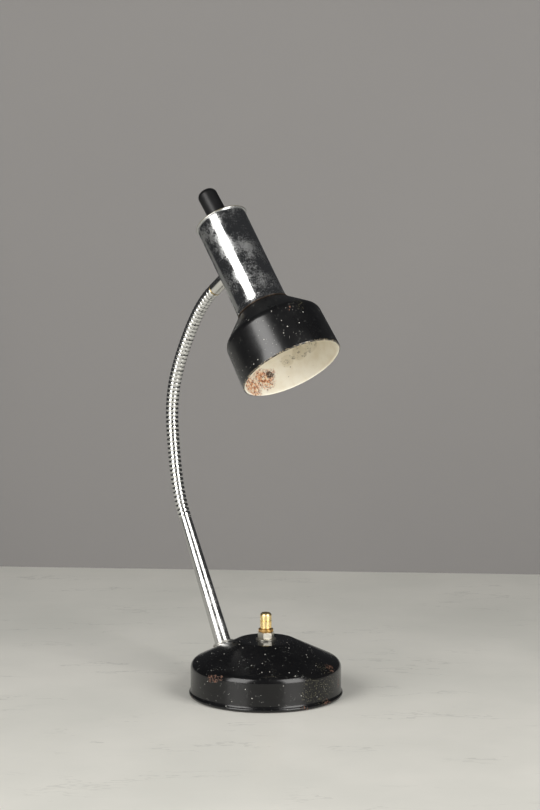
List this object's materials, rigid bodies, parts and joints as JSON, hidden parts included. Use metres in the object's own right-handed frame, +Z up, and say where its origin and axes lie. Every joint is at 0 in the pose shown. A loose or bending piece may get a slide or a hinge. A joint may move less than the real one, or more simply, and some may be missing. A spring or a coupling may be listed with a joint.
{
  "type": "gooseneck desk lamp",
  "caption": "Small desk lamp: weighted round base with a rotary switch, slanting stem, flexible gooseneck and a swivelling tubular head with a bell shade.",
  "frame": {"origin": "centre of the base's underside, on the table", "axes": "+Z up, +X the way the lamp faces, +Y to its left"},
  "size_m": [0.1599, 0.108, 0.3525],
  "materials": {
    "black_enamel": "worn satin gloss",
    "chrome_plate": "polished, lightly pitted",
    "cast_iron": "raw",
    "zinc_steel": "zinc plated",
    "nickel_plate": "satin nickel",
    "brass": "polished",
    "felt": "felt",
    "black_phenolic": "satin",
    "porcelain": "glazed",
    "bulb_glass": "frosted"
  },
  "bodies": {
    "base": {"base_shell": "black_enamel", "base_weight": "cast_iron", "bottom_cover": "zinc_steel", "felt_pad": "felt", "cover_screws": "zinc_steel", "cord_bushing": "black_phenolic", "switch_body": "black_phenolic", "switch_bushing": "brass", "switch_star_washer": "zinc_steel", "switch_washer": "nickel_plate", "switch_nut": "nickel_plate", "switch_ring_nut": "brass", "stem_ring": "chrome_plate", "stem_tube": "chrome_plate", "stem_plug": "brass", "stem_nipple": "zinc_steel", "stem_washer": "zinc_steel", "stem_nut": "zinc_steel", "gooseneck_foot": "chrome_plate"},
    "switch": {"switch_shaft": "zinc_steel", "switch_knob": "brass"},
    "link_01": {"gooseneck_link_01": "chrome_plate"},
    "link_02": {"gooseneck_link_02": "chrome_plate"},
    "link_03": {"gooseneck_link_03": "chrome_plate"},
    "link_04": {"gooseneck_link_04": "chrome_plate"},
    "link_05": {"gooseneck_link_05": "chrome_plate"},
    "link_06": {"gooseneck_link_06": "chrome_plate"},
    "link_07": {"gooseneck_link_07": "chrome_plate"},
    "link_08": {"gooseneck_link_08": "chrome_plate"},
    "link_09": {"gooseneck_link_09": "chrome_plate"},
    "link_10": {"gooseneck_link_10": "chrome_plate"},
    "link_11": {"gooseneck_link_11": "chrome_plate"},
    "link_12": {"gooseneck_link_12": "chrome_plate"},
    "link_13": {"gooseneck_link_13": "chrome_plate"},
    "neck_end": {"gooseneck_end": "chrome_plate", "ferrule_ring": "brass", "ferrule": "chrome_plate", "swivel_nipple": "zinc_steel", "swivel_nut": "brass", "thrust_washer": "zinc_steel"},
    "head": {"saddle_seat": "chrome_plate", "saddle_washer": "zinc_steel", "head_tube": "chrome_plate", "head_cap": "zinc_steel", "handle": "black_phenolic", "handle_screw": "zinc_steel", "socket_bracket": "zinc_steel", "socket_screw": "zinc_steel", "socket_body": "porcelain", "socket_shell": "brass", "socket_contact": "brass", "terminal_screws": "brass", "shade": "black_enamel", "bulb_base": "nickel_plate", "bulb_glass": "bulb_glass"}
  },
  "joints": [
    {"name": "gooseneck_bend", "type": "hinge", "parent": "base", "child": "link_01", "pos_m": [-0.08917, 0, 0.12106], "axis": [0, 1, 0], "range_deg": [-7, 7]},
    {"name": "gooseneck_sway", "type": "hinge", "parent": "link_01", "child": "link_02", "pos_m": [-0.09324, 0, 0.13341], "axis": [0.9653, 0, 0.2611], "range_deg": [-7, 7]},
    {"name": "bend_03", "type": "hinge", "parent": "link_02", "child": "link_03", "pos_m": [-0.09595, 0, 0.14612], "axis": [0, 1, 0], "range_deg": [-7, 7]},
    {"name": "sway_04", "type": "hinge", "parent": "link_03", "child": "link_04", "pos_m": [-0.09787, 0, 0.15898], "axis": [0.9914, 0, 0.131], "range_deg": [-7, 7]},
    {"name": "bend_05", "type": "hinge", "parent": "link_04", "child": "link_05", "pos_m": [-0.09936, 0, 0.17189], "axis": [0, 1, 0], "range_deg": [-7, 7]},
    {"name": "sway_06", "type": "hinge", "parent": "link_05", "child": "link_06", "pos_m": [-0.10022, 0, 0.18487], "axis": [0.9998, 0, 0.0183], "range_deg": [-7, 7]},
    {"name": "bend_07", "type": "hinge", "parent": "link_06", "child": "link_07", "pos_m": [-0.09983, 0, 0.19786], "axis": [0, 1, 0], "range_deg": [-7, 7]},
    {"name": "sway_08", "type": "hinge", "parent": "link_07", "child": "link_08", "pos_m": [-0.09763, 0, 0.21067], "axis": [0.971, 0, -0.2392], "range_deg": [-7, 7]},
    {"name": "bend_09", "type": "hinge", "parent": "link_08", "child": "link_09", "pos_m": [-0.09363, 0, 0.22304], "axis": [0, 1, 0], "range_deg": [-7, 7]},
    {"name": "sway_10", "type": "hinge", "parent": "link_09", "child": "link_10", "pos_m": [-0.08834, 0, 0.23492], "axis": [0.9, 0, -0.4359], "range_deg": [-7, 7]},
    {"name": "bend_11", "type": "hinge", "parent": "link_10", "child": "link_11", "pos_m": [-0.0823, 0, 0.24643], "axis": [0, 1, 0], "range_deg": [-7, 7]},
    {"name": "sway_12", "type": "hinge", "parent": "link_11", "child": "link_12", "pos_m": [-0.07564, 0, 0.25759], "axis": [0.8345, 0, -0.551], "range_deg": [-7, 7]},
    {"name": "bend_13", "type": "hinge", "parent": "link_12", "child": "link_13", "pos_m": [-0.06799, 0, 0.2681], "axis": [0, 1, 0], "range_deg": [-7, 7]},
    {"name": "sway_14", "type": "hinge", "parent": "link_13", "child": "neck_end", "pos_m": [-0.05893, 0, 0.27743], "axis": [0.6562, 0, -0.7546], "range_deg": [-7, 7]},
    {"name": "head_swivel", "type": "hinge", "parent": "neck_end", "child": "head", "pos_m": [-0.02544, 0, 0.30194], "axis": [0.807, 0, 0.5906], "range_deg": [-90, 90]},
    {"name": "switch_turn", "type": "hinge", "parent": "base", "child": "switch", "pos_m": [0, 0, 0.03883], "axis": [0, 0, 1], "range_deg": [0, 90]}
  ],
  "couplings": [
    {"joint": "bend_03", "follows": "gooseneck_bend", "ratio": 1},
    {"joint": "sway_04", "follows": "gooseneck_sway", "ratio": 1},
    {"joint": "bend_05", "follows": "gooseneck_bend", "ratio": 1},
    {"joint": "sway_06", "follows": "gooseneck_sway", "ratio": 1},
    {"joint": "bend_07", "follows": "gooseneck_bend", "ratio": 1},
    {"joint": "sway_08", "follows": "gooseneck_sway", "ratio": 1},
    {"joint": "bend_09", "follows": "gooseneck_bend", "ratio": 1},
    {"joint": "sway_10", "follows": "gooseneck_sway", "ratio": 1},
    {"joint": "bend_11", "follows": "gooseneck_bend", "ratio": 1},
    {"joint": "sway_12", "follows": "gooseneck_sway", "ratio": 1},
    {"joint": "bend_13", "follows": "gooseneck_bend", "ratio": 1},
    {"joint": "sway_14", "follows": "gooseneck_sway", "ratio": 1}
  ]
}
